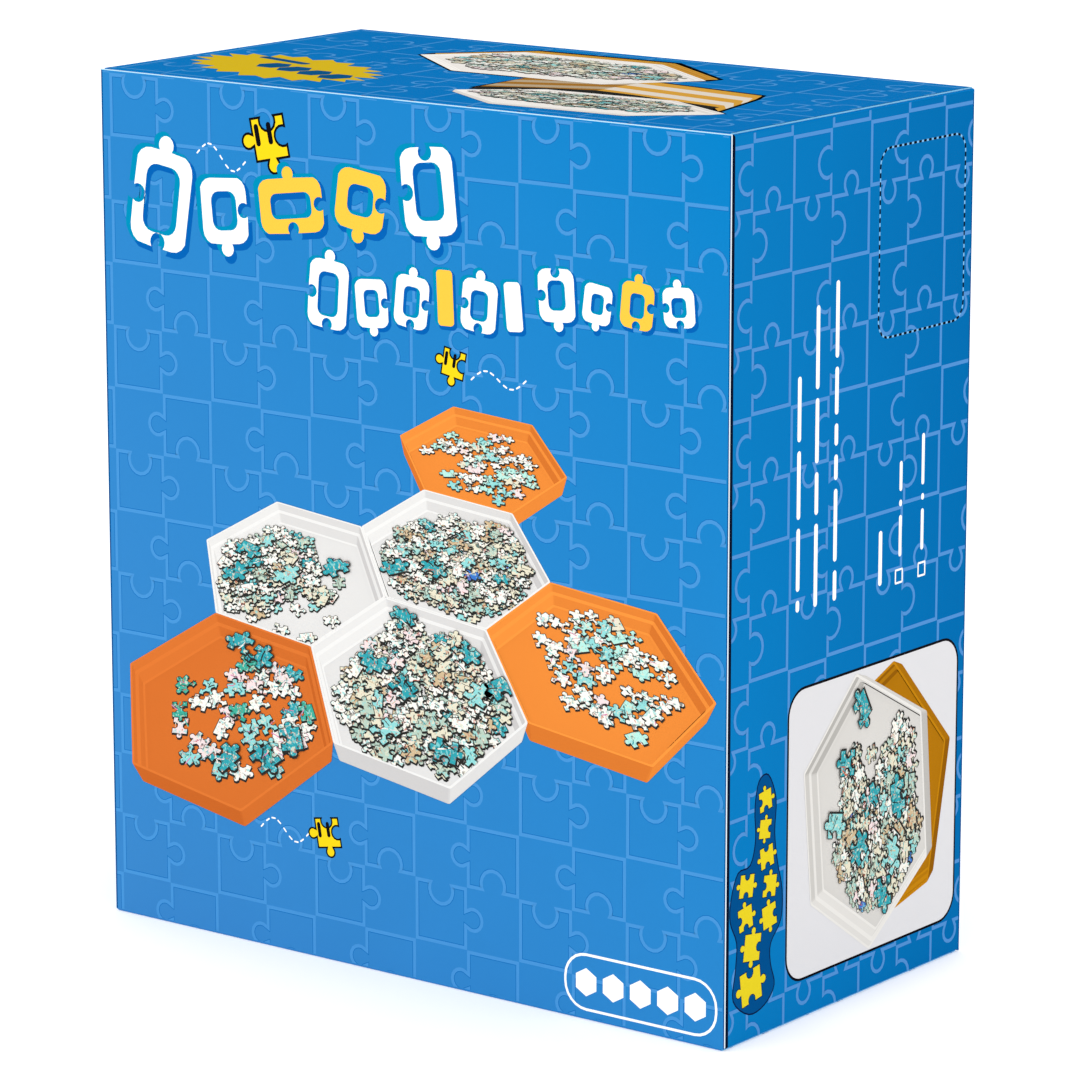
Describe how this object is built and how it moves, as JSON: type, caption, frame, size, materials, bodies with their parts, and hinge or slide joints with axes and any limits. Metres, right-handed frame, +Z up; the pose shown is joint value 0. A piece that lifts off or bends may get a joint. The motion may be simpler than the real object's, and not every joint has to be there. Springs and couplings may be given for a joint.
{
  "type": "printed retail carton",
  "caption": "Upright reverse-tuck retail carton of printed board, shut and full, with a blue jigsaw-line print and pictures of hexagonal sorting trays.",
  "frame": {"origin": "centre of the carton's bottom face, on the surface that it stands on", "axes": "+Z up the carton's height; the front panel faces -Y and the right panel faces +X, so the lid's hinge is at +Y"},
  "size_m": [0.234, 0.124, 0.265],
  "materials": {
    "printed_board": "blue print under a satin varnish"
  },
  "bodies": {
    "root": {"carton": "printed_board"}
  },
  "joints": []
}
